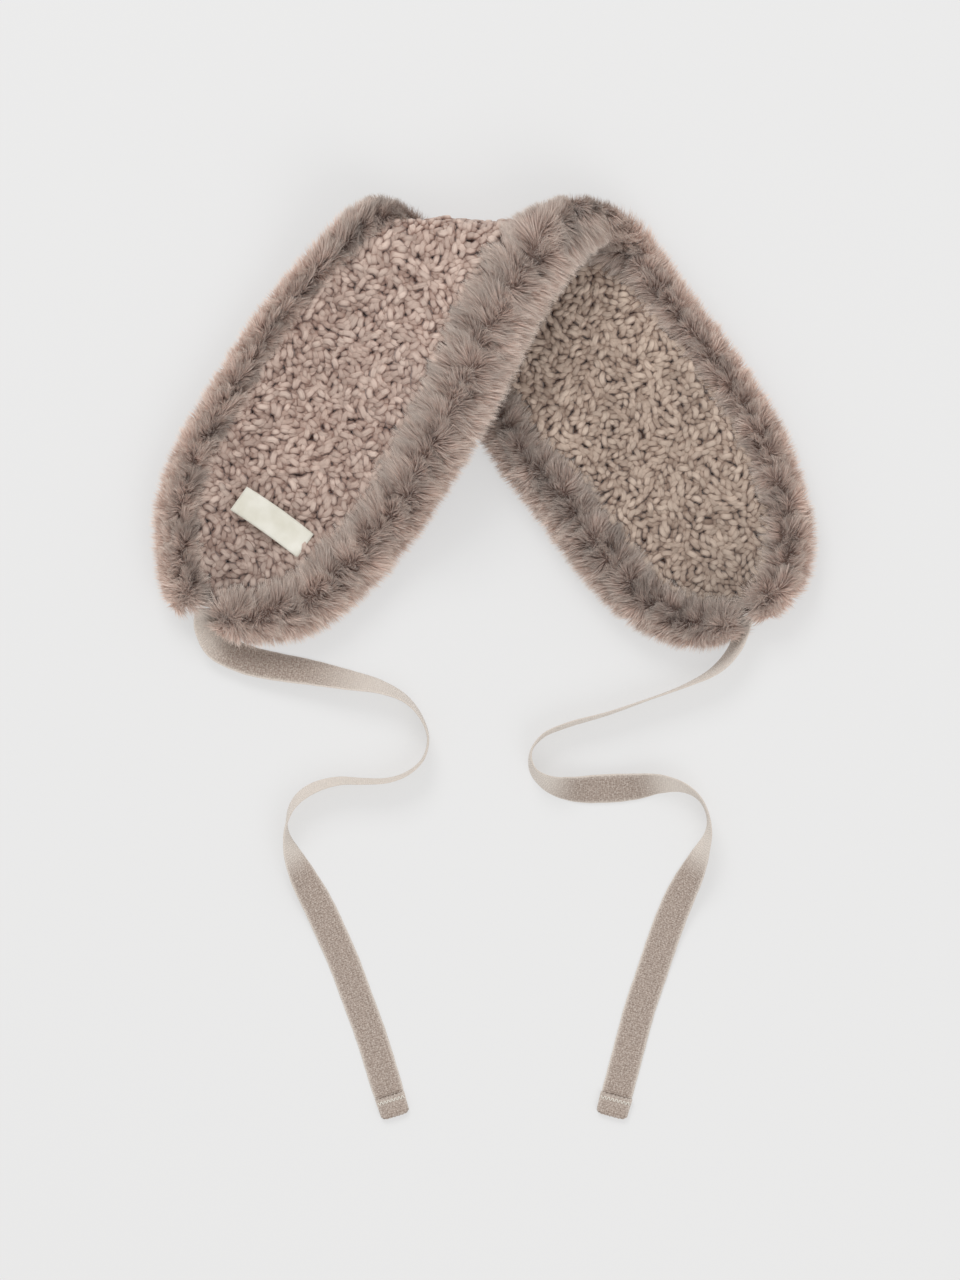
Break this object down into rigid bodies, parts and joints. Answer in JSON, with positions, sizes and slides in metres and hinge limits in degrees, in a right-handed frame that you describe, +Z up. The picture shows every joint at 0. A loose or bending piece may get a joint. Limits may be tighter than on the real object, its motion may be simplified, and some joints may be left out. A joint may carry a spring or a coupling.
{
  "type": "fur-trimmed ear warmer band with ties",
  "caption": "Soft padded band that covers both ears, edged with fur rolls and fastened with tape ties, folded and laid flat.",
  "frame": {"origin": "on the surface that it lies on, under the middle of the folded band without its ties", "axes": "+X across the two lobes, from the front lobe's side to the back lobe's side; +Y toward the fold, away from the ties; +Z up"},
  "size_m": [0.3184, 0.4455, 0.0487],
  "materials": {
    "outer_boucle": "looped boucle knit, matt",
    "lining_boucle": "fine looped boucle knit, matt",
    "fur": "short dense fur with paler tips, soft sheen",
    "tape": "melange knitted tape, matt",
    "label_ribbon": "smooth cream ribbon"
  },
  "bodies": {
    "root": {"outer_cloth": "outer_boucle", "lining_cloth": "lining_boucle", "upper_fur_trim": "fur", "lower_fur_trim": "fur", "left_tie": "tape", "right_tie": "tape", "left_tie_hem": "tape", "right_tie_hem": "tape", "label": "label_ribbon"}
  },
  "joints": []
}
